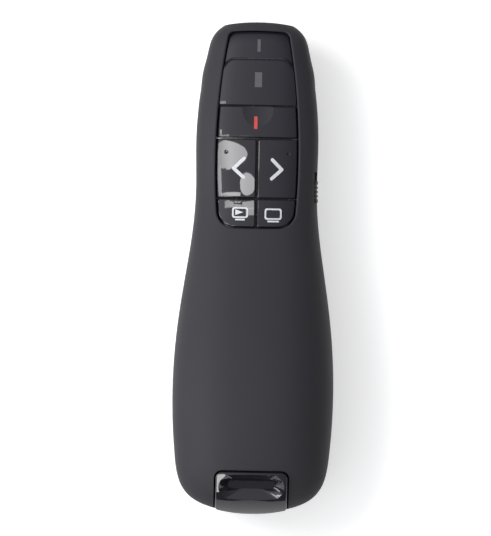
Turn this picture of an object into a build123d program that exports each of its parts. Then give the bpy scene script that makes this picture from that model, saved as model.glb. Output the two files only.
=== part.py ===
from build123d import *
import math
import os

# Wireless presentation clicker: a hand-held remote with five keys, a laser pointer, a power switch
# on its right side, two AAA cells behind a sliding door, and a USB receiver parked in the tail.
# Millimetres. +X is the right side, +Y the nose (laser end), +Z the key side. The clicker lies on
# the flat of its battery door at z = 0, and the origin is the bottom centre of its overall box.

# ---------------------------------------------------------------- housing
BODY_LENGTH = 115.0  # shells, nose to tail
BODY_WIDTH = 38.0  # across the palm
NOSE_BOW_RADIUS = 44.0  # the nose is bowed, seen from above
NOSE_ROUNDING = 0.5
RECEIVER_PROUD = 0.5  # the receiver's cap stands this far above the shells
CAP_OVERHANG = 1.0  # and this far behind their tail
WALL = 1.5
BELLY_SQUARENESS = 2.6  # superellipse power of the lower half
SECTION_POINTS = 20  # points round one cross section
SECTIONS = 26  # lofted along the body
INNER_SECTIONS = 14  # and for the forms of hidden faces
DOOR_GAP = 0.1  # between the door and the shells it meets
PARTING_DROP = 0.4  # joint between the shells, below the top of the battery box
SEAM_HEIGHT = 0.24  # groove along the joint between upper and lower shell
SEAM_DEPTH = 0.3
BULKHEAD = 1.2  # cross wall at the rear of the lower shell

# ---------------------------------------------------------------- battery box
CELL_DIAMETER = 10.5
CELL_LENGTH = 44.5
NUB_RADIUS = 1.9
NUB_LENGTH = 0.8
CELL_SPACING = 0.5  # between the two cells
CELL_FLOOR_GAP = 0.65  # cell to the lowest inside of the door
CELL_SIDE_GAP = 0.2
CELL_TOP_GAP = 0.3
BOX_WALL = 0.9
BOX_SKIRT = 6.55  # how far the box's side walls come down
BOX_END_SKIRT = 9.5  # and its end walls
CEILING = 1.05
END_WALL = 1.0
BAY_FROM_TAIL = 10.45  # tail of the shells to the inside of the battery box
CONTACT_THICKNESS = 0.4
CONTACT_WIDTH = 8.0
CONTACT_HEIGHT = 6.6
TONGUE_WIDTH = 4.0
TONGUE_FLAT = 0.8  # half the flat that meets the cell
TONGUE_GAP = 0.05
SPRING_SPACE = 2.2  # room for a pressed contact tongue
TAB_WIDTH = 2.0
SLIDE_CLEARANCE = 0.35  # battery box to the passing door
SHELF_WIDTH = 6.0  # tab that carries the front of the box on the lower shell's cross wall
SHELF_THICKNESS = 1.25
BOARD_PAD_RADIUS = 1.0  # pads on the box that the board rests on
BOARD_PAD_FROM_SIDE = 2.0

# ---------------------------------------------------------------- door
DOOR_EDGE_FROM_NOSE = 51.75
RAIL_REACH = 1.35
RAIL_HEIGHT = 0.8
RAIL_DROP = 4.8  # top of the box to the underside of its rails
HOOK_GAP = 0.15
HOOK_OVERLAP = 0.85
HOOK_HEIGHT = 0.85
HOOK_LENGTH = 6.0
HOOKS_FROM_NOSE = (69.75, 93.75)
GRIP_GROOVES = 6
GRIP_PITCH = 1.8
GRIP_WIDTH = 0.9
GRIP_LENGTH = 13.0
GRIP_DEPTH = 0.45
GRIP_FROM_EDGE = 4.0

# ---------------------------------------------------------------- keypad
KEYPAD_FROM_NOSE = 2.1
PANEL_LENGTH = 17.65
LASER_KEY_LENGTH = 7.7
ARROW_KEY_LENGTH = 14.2
LOWER_KEY_LENGTH = 7.1
KEYPAD_WIDTH = 19.5  # at its widest
KEYPAD_FRONT_WIDTH = 14.0
KEYPAD_REAR_WIDTH = 17.9
KEYPAD_FRONT_BOW = 0.32
KEYPAD_REAR_BOW = 0.2
WIDEST_SHARE = 0.37  # of the keypad's length, from its rear
FRONT_CORNER = 1.7
REAR_CORNER = 4.2
KEY_GAP = 0.42  # key to shell and key to key
KEY_DROP = 0.2  # key tops lie this far under the shell's surface
KEY_THICKNESS = 2.2
KEY_CORNER = 0.45
KEY_ROUNDING = 0.3
KEY_TRAVEL = 0.35
LIP = 0.8  # hidden lip that keeps a key under the shell's rim
LIP_GAP = 0.15
RIM_ROUNDING = 0.35
PLUNGER_RADIUS = 1.4
KEY_FLOOR_GAP = 0.6
DISH_REACH = 4.5  # radius of the laser key's finger dish where it meets the key's top
DISH_SINK = 0.35
DISH_AHEAD = 0.9  # its centre, ahead of the key's front edge
PIP_RADIUS = 0.4
PIP_HEIGHT = 0.15
PIP = (7.15, 3.2)  # from the keypad's middle line, and from the front of the arrow keys
BAR = (2.1, 0.8)
BAR_PLACE = (4.3, 1.2)  # from the middle line, and from the front of the lower keys
PANEL_DROP = 0.75
PANEL_LIP_SETBACK = 3.0  # the panel's lip ends this far behind its front
PAD_DROP = 0.25
PAD_LENGTH = 11.5  # raised rear part of the indicator panel
PAD_STRAIGHT = 6.8  # half of the pad's straight front edge
PAD_SPLAY = (4.0, 5.0)  # outward and rearward run of its slanting front corners
PAD_CORNER = 3.0
PAD_ROUNDING = 1.5
SIGNAL_LIGHT = (0.75, 2.95)  # width and length
SIGNAL_FROM_FRONT = 3.45
BATTERY_LIGHT = (1.7, 3.5)
BATTERY_LIGHT_FROM_FRONT = 11.55

# ---------------------------------------------------------------- circuit board
BOARD_LIFT = 0.6  # over the battery box
BOARD_THICKNESS = 0.8
BOARD_EDGE_GAP = 0.8  # to the inside of the shells
BOARD_FROM_NOSE = 4.6
BOARD_OVERLAP = 5.0  # how far it reaches back over the battery box
SWITCH_SIDE = 5.2
SWITCH_HEIGHT = 0.95
STEM_RADIUS = 1.0
STEM_HEIGHT = 1.5  # over the board
STEM_FLOOR = 0.2
STEM_GAP = 0.05
LED = (1.6, 0.8, 0.6)
LIGHT_GAP = 0.2
CONTROLLER = (5.0, 5.0, 0.9)
RADIO = (4.0, 4.0, 0.9)
CRYSTAL = (3.2, 1.6, 0.8)
CHIP_SPACING = 1.0

# ---------------------------------------------------------------- laser module
LASER_DIAMETER = 5.6
LASER_LENGTH = 13.0
LASER_DROP = 2.2  # its axis under the joint between the shells
LASER_FROM_NOSE = 4.2
LASER_WALL = 0.8
LASER_REAR_WALL = 2.0
LASER_END_GAP = 0.4  # barrel to the end of its seat
LENS_THICKNESS = 1.2
LENS_SETBACK = 0.2
APERTURE_RADIUS = 1.5
WINDOW_RADIUS = 2.2
WINDOW_THICKNESS = 0.8
CRADLE_THICKNESS = 1.2
CRADLES = (2.5, 10.0)  # from the front of the barrel
CRADLE_WIDTH = 8.4
LASER_BOARD = (4.4, 6.0, 0.6)

# ---------------------------------------------------------------- power switch
POWER_FROM_NOSE = 38.75  # centre of the switch's travel
POWER_TRAVEL = 2.0
POWER_RISE = 0.75  # lever over the board
KNOB_LENGTH = 5.0
KNOB_HEIGHT = 2.3
KNOB_PROUD = 0.25
KNOB_GROOVES = 4
KNOB_GROOVE = 0.4
NECK_LENGTH = 2.4
NECK_HEIGHT = 1.3
LEVER_LENGTH = 1.2
LEVER_HEIGHT = 0.7
LEVER_REACH = 1.2
POWER_BODY = (2.6, 6.8, 1.45)  # depth, length, height
POWER_BODY_FROM_WALL = 1.2
POCKET_DEPTH = 0.7
SLIDE_GAP = 0.15

# ---------------------------------------------------------------- receiver
CAP_LENGTH = 10.1
CAP_WIDTH = 16.9
CAP_GAP = 0.4  # to the notch in the upper shell
CAP_LIFT = 0.3  # over the joint between the shells
CAP_CORNER = 1.5
CAP_REAR_BOW = 1.05  # the rear of the cap is bowed, seen from above
CAP_REAR_CORNER = 0.8
CAP_ROUNDING = 0.4
SPIGOT = 1.8  # of the cap, into the case
SCOOP_WIDTH = 14.6  # finger scoop in the cap's top
SCOOP_LENGTH = 4.85
SCOOP_FROM_EDGE = 0.95
SCOOP_DEPTH = 1.5
SCOOP_SLOPE = 1.75  # how far each of its walls leans in
SCOOP_LEAN = 0.5
SCOOP_OVERSHOOT = 1.8
SCOOP_CORNER = 1.0
CASE_WIDTH = 16.0
CASE_THICKNESS = 6.4
CASE_LENGTH = 16.0
CASE_WALL = 1.0
CASE_ROUNDING = 0.5
CASE_GAP = 0.05  # to the rails of its dock
DOCK_RAIL = 0.25
DOCK_RAIL_WIDTH = 1.0
DOCK_GAP = 0.15
DOCK_HEIGHT = 6.0
PLUG_WIDTH = 12.0
PLUG_HEIGHT = 4.5
PLUG_LENGTH = 12.0
PLUG_ROOT = 4.0  # how far the plug reaches into its case
PLUG_WALL = 0.3
PLUG_HOLE = 2.2
PLUG_HOLE_PLACE = (2.6, 5.2)  # from the middle line, and from the plug's mouth
USB_TONGUE_THICKNESS = 1.9
USB_TONGUE_SETBACK = 0.4
USB_CONTACT = (1.0, 8.0, 0.15)
USB_CONTACTS = (-3.5, -1.0, 1.0, 3.5)
RECEIVER_BOARD = (12.6, 9.6, 0.8)
RECEIVER_CHIP = (5.0, 5.0, 0.9)
STOP_GAP = 1.4  # plug to the wall at the end of its dock

# ---------------------------------------------------------------- screws
SCREW_RADIUS = 1.0
SCREW_HEAD_RADIUS = 1.9
SCREW_HEAD_HEIGHT = 1.2
SCREW_LENGTH = 7.0
SCREW_GAP = 0.03
SCREW_PLAY = 0.15  # round a shank or head where it passes freely
SCREW_TIP_GAP = 0.2  # to the end of its bore
DRIVE_SLOT = (0.5, 2.2, 0.6)
BOSS_RADIUS = 2.4
BOSS_GAP = 0.4  # round a boss where it passes through the board
FRONT_SCREW = (8.0, 1.65)  # from the middle line, and behind the door's edge
FRONT_EAR = 3.1  # thickness
REAR_SCREW = (13.5, 6.8)  # from the middle line, and ahead of the battery box's inside
REAR_EAR = 2.0
EAR_RADIUS = 2.9
EAR_ROOT = 2.0  # of the rear ears, on top of the battery box
BOARD_SCREW_RADIUS = 0.7
BOARD_SCREW_HEAD = (1.35, 0.8)  # radius and height
BOARD_SCREW_LENGTH = 4.0
BOARD_SCREWS = ((8.8, 28.75), (6.2, 10.25))  # from the middle line, and from the nose
POST_RADIUS = 1.7

BIG = 200.0
PAST = 1.0  # how far a cut runs past what it cuts
JOIN = 0.3  # how far joined forms run into each other

# ---------------------------------------------------------------- worked out
NOSE_Y = (BODY_LENGTH + CAP_OVERHANG) / 2
TAIL_Y = NOSE_Y - BODY_LENGTH
MIDDLE_Y = NOSE_Y - BODY_LENGTH / 2
CELL_RADIUS = CELL_DIAMETER / 2
CELL_X = CELL_RADIUS + CELL_SPACING / 2
CELL_Z = WALL + CELL_FLOOR_GAP + CELL_RADIUS
ROOF_Z = CELL_Z + CELL_RADIUS + CELL_TOP_GAP
DECK_Z = ROOF_Z + CEILING
PARTING_Z = DECK_Z - PARTING_DROP
BAY_REAR_Y = TAIL_Y + BAY_FROM_TAIL
BAY_FRONT_Y = BAY_REAR_Y + CELL_LENGTH + SPRING_SPACE + 2 * CONTACT_THICKNESS
BOX_HALF = CELL_X + CELL_RADIUS + CELL_SIDE_GAP + BOX_WALL
DOOR_EDGE_Y = NOSE_Y - DOOR_EDGE_FROM_NOSE
RAIL_Z = DECK_Z - RAIL_DROP
BOARD_Z = DECK_Z + BOARD_LIFT
BOARD_TOP = BOARD_Z + BOARD_THICKNESS
BOARD_FRONT_Y = NOSE_Y - BOARD_FROM_NOSE
BOARD_REAR_Y = BAY_FRONT_Y - BOARD_OVERLAP
STEM_TOP = BOARD_TOP + STEM_HEIGHT
KEY_FLOOR_Z = BOARD_TOP + KEY_FLOOR_GAP  # nothing of a key but its plunger lies lower
LASER_Z = PARTING_Z - LASER_DROP
LASER_FRONT_Y = NOSE_Y - LASER_FROM_NOSE
KEYPAD_FRONT_Y = NOSE_Y - KEYPAD_FROM_NOSE
LASER_KEY_Y = KEYPAD_FRONT_Y - PANEL_LENGTH  # front of the laser key's cell
ARROW_KEY_Y = LASER_KEY_Y - LASER_KEY_LENGTH
LOWER_KEY_Y = ARROW_KEY_Y - ARROW_KEY_LENGTH
KEYPAD_REAR_Y = LOWER_KEY_Y - LOWER_KEY_LENGTH
FRONT_SCREW_Y = DOOR_EDGE_Y - FRONT_SCREW[1]
REAR_SCREW_Y = BAY_REAR_Y + REAR_SCREW[1]
REAR_EAR_Z = PARTING_Z - DOOR_GAP + SLIDE_CLEARANCE  # the door's upper edge passes under the ear
POWER_Y = NOSE_Y - POWER_FROM_NOSE
POWER_Z = BOARD_TOP + POWER_RISE
CAP_REAR_Y = TAIL_Y - CAP_OVERHANG
CAP_FRONT_Y = CAP_REAR_Y + CAP_LENGTH
CAP_FLOOR_Z = PARTING_Z + CAP_LIFT
CASE_Z = DECK_Z + DOCK_RAIL + CASE_GAP
CASE_FRONT_Y = CAP_FRONT_Y + CASE_LENGTH
PLUG_Z = CASE_Z + CASE_THICKNESS / 2
PLUG_FRONT_Y = CASE_FRONT_Y + PLUG_LENGTH
DOCK_END_Y = PLUG_FRONT_Y + STOP_GAP

# Cross sections of the housing. Each row: place along the body as a share of its length from the
# nose, half width as a share of half the body's width, crown above the parting plane and belly
# below it in mm, and the squareness of the crown.
STATIONS = [
    (0.000, 0.285, 2.9, 5.2, 2.7),
    (0.011, 0.468, 4.6, 6.4, 2.7),
    (0.027, 0.563, 5.6, 6.9, 2.7),
    (0.050, 0.613, 6.3, 7.05, 2.7),
    (0.100, 0.682, 7.0, 7.1, 2.7),
    (0.170, 0.735, 7.5, 7.1, 2.7),
    (0.240, 0.7605, 7.9, 7.6, 2.7),
    (0.325, 0.752, 8.5, 9.6, 2.65),
    (0.390, 0.762, 9.3, 12.3, 2.6),
    (0.450, 0.800, 10.3, 13.7, 2.5),
    (0.490, 0.836, 11.05, 13.85, 2.45),
    (0.537, 0.8816, 11.9, 13.85, 2.4),
    (0.624, 0.953, 13.1, 13.85, 2.35),
    (0.711, 0.994, 13.75, 13.85, 2.35),
    (0.798, 0.9975, 13.5, 13.85, 2.35),
    (0.867, 0.9725, 12.3, 13.85, 2.35),
    (0.920, 0.936, 10.4, 13.3, 2.35),
    (0.954, 0.866, 8.3, 11.9, 2.35),
    (0.979, 0.7316, 5.8, 9.6, 2.35),
    (0.9935, 0.542, 3.4, 7.0, 2.35),
    (1.000, 0.332, 1.6, 4.4, 2.35),
]


def turn_at(along):
    """A place along the body as an angle from 0 at the nose to pi at the tail, where ends are round."""
    return math.acos(1 - 2 * min(max(along, 0.0), 1.0))


def station_at(turn):
    """Width, crown, belly and squareness at a turn, on smooth cubics through the STATIONS."""
    turns = [turn_at(row[0]) for row in STATIONS]
    near = max(k for k in range(len(turns) - 1) if turns[k] <= turn + 1e-9)
    span = turns[near + 1] - turns[near]
    share = (turn - turns[near]) / span
    values = []
    for column in list(zip(*STATIONS))[1:]:
        slopes = []
        for k in (near, near + 1):
            low, high = max(k - 1, 0), min(k + 1, len(turns) - 1)
            slopes.append(span * (column[high] - column[low]) / (turns[high] - turns[low]))
        step = column[near + 1] - column[near]
        bend = slopes[0] + slopes[1] - 2 * step
        lift = 3 * step - 2 * slopes[0] - slopes[1]
        values.append(column[near] + share * (slopes[0] + share * (lift + share * bend)))
    return values


def surface_z(x, y, inset=0.0):
    """Height of the upper shell's surface over a point, drawn in by inset."""
    width, crown, _, power = station_at(turn_at((NOSE_Y - y) / BODY_LENGTH))
    across = abs(x) / (BODY_WIDTH / 2 * width - inset)
    return PARTING_Z + (crown - inset) * (1 - across**power) ** (1 / power)


def cross_section(turn, inset):
    """One closed cross section of the housing, drawn in by inset."""
    width, crown, belly, squareness = station_at(turn)
    y = MIDDLE_Y + math.cos(turn) * (BODY_LENGTH / 2 - inset)
    half = BODY_WIDTH / 2 * width - inset
    points = []
    for k in range(SECTION_POINTS):
        angle = 2 * math.pi * k / SECTION_POINTS - math.pi / 2
        across, up = math.cos(angle), math.sin(angle)
        power = 2 / (squareness if up >= 0 else BELLY_SQUARENESS)
        rise = (crown if up >= 0 else belly) - inset
        x = half * math.copysign(abs(across) ** power, across)
        z = PARTING_Z + rise * math.copysign(abs(up) ** power, up)
        points.append(Vector(x, y, z))
    knots = [k / SECTION_POINTS for k in range(SECTION_POINTS + 1)]
    return Wire([Edge.make_spline(points, periodic=True, parameters=knots)])


def form(inset, sections=SECTIONS):
    """The housing's smooth solid, drawn in by inset all round; a negative inset stands proud."""
    turns = [math.pi * k / sections for k in range(sections + 1)]
    return Solid.make_loft([cross_section(turn, inset) for turn in turns])


def block(x, y, z):
    """A box from its three ranges."""
    ranges = (x, y, z)
    centre = [(high + low) / 2 for low, high in ranges]
    return Pos(*centre) * Box(*[high - low for low, high in ranges])


def pair(shape):
    """A shape and its mirror image on the left."""
    return shape + mirror(shape, Plane.YZ)


def post(x, y, z, radius):
    """An upright cylinder over a range of z."""
    return Pos(x, y, (z[0] + z[1]) / 2) * Cylinder(radius, z[1] - z[0])


def along_y(x, z, y, radius):
    """A cylinder along Y over a range of y."""
    return Pos(x, (y[0] + y[1]) / 2, z) * Rot(90, 0, 0) * Cylinder(radius, y[1] - y[0])


def chip(x, y, size, z):
    """A box of the given size standing on the height z."""
    return Pos(x, y, z + size[2] / 2) * Box(*size)


def save(shape, node):
    export_step(shape, f"parts/{node}.step")


os.makedirs("parts", exist_ok=True)


# ---------------------------------------------------------------- shared forms
def bowed_nose(shape, inset):
    """A form of the housing, drawn in by inset, with its flat front end cut to the nose's bow."""
    radius = NOSE_BOW_RADIUS - inset
    centre_y = NOSE_Y - NOSE_BOW_RADIUS
    behind = block((-radius, radius), (-BIG, centre_y), (-BIG, BIG))
    return shape & (post(0, centre_y, (-BIG, BIG), radius) + behind)


ABOVE = block((-BIG, BIG), (-BIG, BIG), (PARTING_Z, BIG))
OUTER = bowed_nose(form(0), 0)
OUTER = fillet(OUTER.faces().sort_by(Axis.Y)[-1].edges(), NOSE_ROUNDING)
INNER = form(WALL, INNER_SECTIONS)
KEY_TOP = form(KEY_DROP)
KEY_UNDER = form(KEY_DROP + KEY_THICKNESS, INNER_SECTIONS)
LIP_TOP = form(WALL + LIP_GAP, INNER_SECTIONS)
seam_z = (PARTING_Z - SEAM_HEIGHT / 2, PARTING_Z + SEAM_HEIGHT / 2)
SEAM = block((-BIG, BIG), (-BIG, BIG), seam_z) - bowed_nose(form(SEAM_DEPTH), SEAM_DEPTH)


def keypad_outline(grow=0.0):
    """The keypad's opening as a face at z = 0, grown outward."""
    front = KEYPAD_FRONT_WIDTH / 2
    rear = KEYPAD_REAR_WIDTH / 2
    widest = KEYPAD_WIDTH / 2
    front_y = KEYPAD_FRONT_Y - KEYPAD_FRONT_BOW
    rear_y = KEYPAD_REAR_Y + KEYPAD_REAR_BOW
    widest_y = rear_y + (front_y - rear_y) * WIDEST_SHARE
    edges = [
        ThreePointArc((front, front_y), (widest, widest_y), (rear, rear_y)),
        ThreePointArc((rear, rear_y), (0, KEYPAD_REAR_Y), (-rear, rear_y)),
        ThreePointArc((-rear, rear_y), (-widest, widest_y), (-front, front_y)),
        ThreePointArc((-front, front_y), (0, KEYPAD_FRONT_Y), (front, front_y)),
    ]
    face = make_face(edges)
    face = fillet(face.vertices().sort_by(Axis.Y)[:2], REAR_CORNER)
    face = fillet(face.vertices().sort_by(Axis.Y)[-2:], FRONT_CORNER)
    return offset(face, grow) if grow else face


def upright(face, low=KEY_FLOOR_Z, high=BIG):
    """A face drawn at z = 0, raised into a prism."""
    return extrude(Pos(0, 0, low) * face, high - low, dir=(0, 0, 1))


def cell_prism(x, y, grow, corner=0.0):
    """The part of the keypad's outline, grown by grow, that lies in one key's cell."""
    cell = Pos((x[0] + x[1]) / 2, (y[0] + y[1]) / 2) * Rectangle(x[1] - x[0], y[1] - y[0])
    face = keypad_outline(grow) & cell
    if corner:
        cut = [
            v
            for v in face.vertices()
            if min(abs(v.X - x[0]), abs(v.X - x[1]), abs(v.Y - y[0]), abs(v.Y - y[1])) < 0.001
        ]
        face = fillet(cut, corner)
    return upright(face)


def key_cap(x, y):
    """One key: a thick cap that follows the housing, with a hidden lip on its outer side."""
    cap = (cell_prism(x, y, -KEY_GAP, KEY_CORNER) & KEY_TOP) - KEY_UNDER
    cap = fillet(cap.faces().sort_by(Axis.Z)[-1].edges(), KEY_ROUNDING)
    lip = (cell_prism(x, y, LIP) & LIP_TOP) - KEY_UNDER
    return cap + lip


def raised_mark(face):
    """A low raised mark on a key, following the key's surface."""
    mark = upright(face) & form(KEY_DROP - PIP_HEIGHT, INNER_SECTIONS)
    return mark - form(KEY_DROP + JOIN, INNER_SECTIONS)


# ---------------------------------------------------------------- keys and their switches
half_gap = KEY_GAP / 2
KEYS = {
    "laser": ((-BIG, BIG), (ARROW_KEY_Y + half_gap, LASER_KEY_Y - half_gap)),
    "back": ((-BIG, -half_gap), (LOWER_KEY_Y + half_gap, ARROW_KEY_Y - half_gap)),
    "forward": ((half_gap, BIG), (LOWER_KEY_Y + half_gap, ARROW_KEY_Y - half_gap)),
    "slideshow": ((-BIG, -half_gap), (-BIG, LOWER_KEY_Y - half_gap)),
    "blank": ((half_gap, BIG), (-BIG, LOWER_KEY_Y - half_gap)),
}
arrow_y = (ARROW_KEY_Y + LOWER_KEY_Y) / 2
lower_y = (LOWER_KEY_Y + KEYPAD_REAR_Y) / 2
SWITCHES = {
    "laser": (0, (LASER_KEY_Y + ARROW_KEY_Y) / 2),
    "back": (-KEYPAD_WIDTH / 4, arrow_y),
    "forward": (KEYPAD_WIDTH / 4, arrow_y),
    "slideshow": (-KEYPAD_WIDTH / 4, lower_y),
    "blank": (KEYPAD_WIDTH / 4, lower_y),
}
for name, (x, y) in KEYS.items():
    switch_x, switch_y = SWITCHES[name]
    key = key_cap(x, y)
    if name == "laser":
        dish_radius = (DISH_REACH**2 + DISH_SINK**2) / (2 * DISH_SINK)
        dish_z = surface_z(0, y[1], KEY_DROP) - DISH_SINK + dish_radius
        key -= Pos(0, y[1] + DISH_AHEAD, dish_z) * Sphere(dish_radius)
    if name in ("back", "forward"):
        side = math.copysign(PIP[0], switch_x)
        key += raised_mark(Pos(side, ARROW_KEY_Y - PIP[1]) * Circle(PIP_RADIUS))
    if name in ("slideshow", "blank"):
        side = math.copysign(BAR_PLACE[0], switch_x)
        key += raised_mark(Pos(side, LOWER_KEY_Y - BAR_PLACE[1]) * SlotOverall(*BAR))
    roof = surface_z(switch_x, switch_y, KEY_DROP + KEY_THICKNESS)
    key += post(switch_x, switch_y, (STEM_TOP, roof + JOIN), PLUNGER_RADIUS)
    save(key, f"{name}_key")
    stem_foot = BOARD_TOP + STEM_FLOOR + KEY_TRAVEL + STEM_GAP
    save(post(switch_x, switch_y, (stem_foot, STEM_TOP), STEM_RADIUS), f"{name}_stem")
    body = chip(switch_x, switch_y, (SWITCH_SIDE, SWITCH_SIDE, SWITCH_HEIGHT), BOARD_TOP)
    body -= post(switch_x, switch_y, (BOARD_TOP + STEM_FLOOR, BIG), STEM_RADIUS + STEM_GAP)
    save(body, f"{name}_switch")

# ---------------------------------------------------------------- indicator panel
panel_rear_y = LASER_KEY_Y + half_gap
pad_front_y = LASER_KEY_Y + PAD_LENGTH
splay = (PAD_STRAIGHT + PAD_SPLAY[0], pad_front_y - PAD_SPLAY[1])
pad_outline = Polyline(
    (PAD_STRAIGHT, pad_front_y),
    splay,
    (splay[0], KEYPAD_REAR_Y),
    (-splay[0], KEYPAD_REAR_Y),
    (-splay[0], splay[1]),
    (-PAD_STRAIGHT, pad_front_y),
    close=True,
)
pad_face = make_face(pad_outline)
pad_face = fillet(pad_face.vertices().sort_by(Axis.Y)[2:], PAD_CORNER)
pad = upright(pad_face) & form(PAD_DROP)
pad = fillet(pad.faces().sort_by(SortBy.AREA)[-1].edges(), PAD_ROUNDING)
panel = cell_prism((-BIG, BIG), (panel_rear_y, BIG), -half_gap, KEY_CORNER)
panel = (panel & (form(PANEL_DROP) + pad)) - KEY_UNDER
lip_y = (panel_rear_y, KEYPAD_FRONT_Y - PANEL_LIP_SETBACK)
panel += (cell_prism((-BIG, BIG), lip_y, LIP) & LIP_TOP) - KEY_UNDER
LIGHTS = {
    "signal": (SIGNAL_LIGHT, KEYPAD_FRONT_Y - SIGNAL_FROM_FRONT, PANEL_DROP),
    "battery": (BATTERY_LIGHT, KEYPAD_FRONT_Y - BATTERY_LIGHT_FROM_FRONT, PAD_DROP),
}
for name, (size, light_y, drop) in LIGHTS.items():
    window = Pos(0, light_y) * Rectangle(*size)
    panel -= upright(window, BOARD_TOP)
    foot = BOARD_TOP + LED[2] + LIGHT_GAP
    save(upright(window, foot) & form(drop, INNER_SECTIONS), f"{name}_light_pipe")
    save(chip(0, light_y, LED, BOARD_TOP), f"{name}_led")
save(panel, "indicator_panel")

# ---------------------------------------------------------------- circuit board
board = block((-BIG, BIG), (BOARD_REAR_Y, BOARD_FRONT_Y), (BOARD_Z, BOARD_TOP))
board &= form(WALL + BOARD_EDGE_GAP, INNER_SECTIONS)
through_board = (BOARD_Z - PAST, BOARD_TOP + PAST)
board -= pair(post(FRONT_SCREW[0], FRONT_SCREW_Y, through_board, BOSS_RADIUS + BOSS_GAP))
for x, from_nose in BOARD_SCREWS:
    board -= pair(post(x, NOSE_Y - from_nose, through_board, BOARD_SCREW_RADIUS + SCREW_GAP))
save(board, "circuit_board")
controller_y = FRONT_SCREW_Y
radio_y = controller_y - CONTROLLER[1] / 2 - CHIP_SPACING - RADIO[1] / 2
crystal_x = RADIO[0] / 2 + CHIP_SPACING + CRYSTAL[0] / 2
save(chip(0, controller_y, CONTROLLER, BOARD_TOP), "controller_chip")
save(chip(0, radio_y, RADIO, BOARD_TOP), "radio_chip")
save(chip(crystal_x, radio_y, CRYSTAL, BOARD_TOP), "crystal_can")

# ---------------------------------------------------------------- laser module
laser_rear_y = LASER_FRONT_Y - LASER_LENGTH
laser_radius = LASER_DIAMETER / 2
barrel = along_y(0, LASER_Z, (laser_rear_y, LASER_FRONT_Y), laser_radius)
barrel -= along_y(0, LASER_Z, (LASER_FRONT_Y - LENS_THICKNESS, LASER_FRONT_Y), laser_radius - LASER_WALL)
barrel -= along_y(0, LASER_Z, (laser_rear_y + LASER_REAR_WALL, LASER_FRONT_Y), APERTURE_RADIUS)
save(barrel, "laser_barrel")
lens_y = (LASER_FRONT_Y - LENS_THICKNESS, LASER_FRONT_Y - LENS_SETBACK)
save(along_y(0, LASER_Z, lens_y, laser_radius - LASER_WALL - SCREW_GAP), "laser_lens")
laser_board_y = laser_rear_y - LASER_BOARD[1] / 2
save(chip(0, laser_board_y, LASER_BOARD, LASER_Z - LASER_BOARD[2] / 2), "laser_board")
window_y = NOSE_Y - WALL
window_reach = (window_y, window_y + WINDOW_THICKNESS)
save(along_y(0, LASER_Z, window_reach, WINDOW_RADIUS - SCREW_GAP), "laser_window")

# ---------------------------------------------------------------- power switch
power_turn = turn_at((NOSE_Y - POWER_Y) / BODY_LENGTH)
power_x = BODY_WIDTH / 2 * station_at(power_turn)[0] - WALL - POWER_BODY_FROM_WALL  # body's outer side
power_rear_y = POWER_Y - POWER_TRAVEL / 2  # where the lever's centre rests
body = block(
    (power_x - POWER_BODY[0], power_x),
    (POWER_Y - POWER_BODY[1] / 2, POWER_Y + POWER_BODY[1] / 2),
    (BOARD_TOP, BOARD_TOP + POWER_BODY[2]),
)
slot_half = (LEVER_LENGTH + POWER_TRAVEL) / 2 + SLIDE_GAP
body -= block(
    (power_x - LEVER_REACH - SLIDE_GAP, power_x + PAST),
    (POWER_Y - slot_half, POWER_Y + slot_half),
    (POWER_Z - LEVER_HEIGHT / 2 - SLIDE_GAP, POWER_Z + LEVER_HEIGHT / 2 + SLIDE_GAP),
)
save(body, "power_switch")
lever = block(
    (power_x - LEVER_REACH, power_x + LEVER_REACH),
    (power_rear_y - LEVER_LENGTH / 2, power_rear_y + LEVER_LENGTH / 2),
    (POWER_Z - LEVER_HEIGHT / 2, POWER_Z + LEVER_HEIGHT / 2),
)
save(lever, "power_lever")


def side_prism(length, height, y=POWER_Y):
    """A square bar out through the right wall at the power switch."""
    z = (POWER_Z - height / 2, POWER_Z + height / 2)
    return block((power_x + SLIDE_GAP, BIG), (y - length / 2, y + length / 2), z)


knob = side_prism(KNOB_LENGTH, KNOB_HEIGHT, power_rear_y)
knob = (knob & form(-KNOB_PROUD)) - form(POCKET_DEPTH - SLIDE_GAP)
neck = side_prism(NECK_LENGTH, NECK_HEIGHT, power_rear_y) & form(POCKET_DEPTH - SLIDE_GAP - JOIN)
ridges = side_prism(KNOB_LENGTH, KNOB_HEIGHT, power_rear_y) - form(0)
for k in range(KNOB_GROOVES + 1):
    groove_y = power_rear_y + (k - KNOB_GROOVES / 2) * KNOB_LENGTH / (KNOB_GROOVES + 1)
    if k < KNOB_GROOVES:
        groove_y += KNOB_LENGTH / (KNOB_GROOVES + 1) / 2
        knob -= side_prism(KNOB_GROOVE, KNOB_HEIGHT, groove_y) & ridges
save(knob + neck - lever, "power_knob")

# ---------------------------------------------------------------- upper shell
top_shell = (OUTER & ABOVE) - INNER - upright(keypad_outline())
skin = top_shell.faces().sort_by(SortBy.AREA)[-1]
rim = [e for wire in skin.inner_wires() for e in wire.edges()]
top_shell = fillet(rim, RIM_ROUNDING)
notch_half = CAP_WIDTH / 2 + CAP_GAP
notch_y = CAP_FRONT_Y + CAP_GAP
notch = Pos(0, notch_y - BIG / 2) * RectangleRounded(2 * notch_half, BIG, CAP_CORNER + CAP_GAP)
top_shell -= upright(notch, 0)
top_shell -= SEAM
pocket = side_prism(KNOB_LENGTH + POWER_TRAVEL + 2 * SLIDE_GAP, KNOB_HEIGHT + 2 * SLIDE_GAP)
top_shell -= pocket - form(POCKET_DEPTH)
top_shell -= side_prism(NECK_LENGTH + POWER_TRAVEL + 2 * SLIDE_GAP, NECK_HEIGHT + 2 * SLIDE_GAP)
bosses = pair(post(FRONT_SCREW[0], FRONT_SCREW_Y, (PARTING_Z, BIG), BOSS_RADIUS))
bosses += pair(post(REAR_SCREW[0], REAR_SCREW_Y, (REAR_EAR_Z + REAR_EAR, BIG), BOSS_RADIUS))
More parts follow.
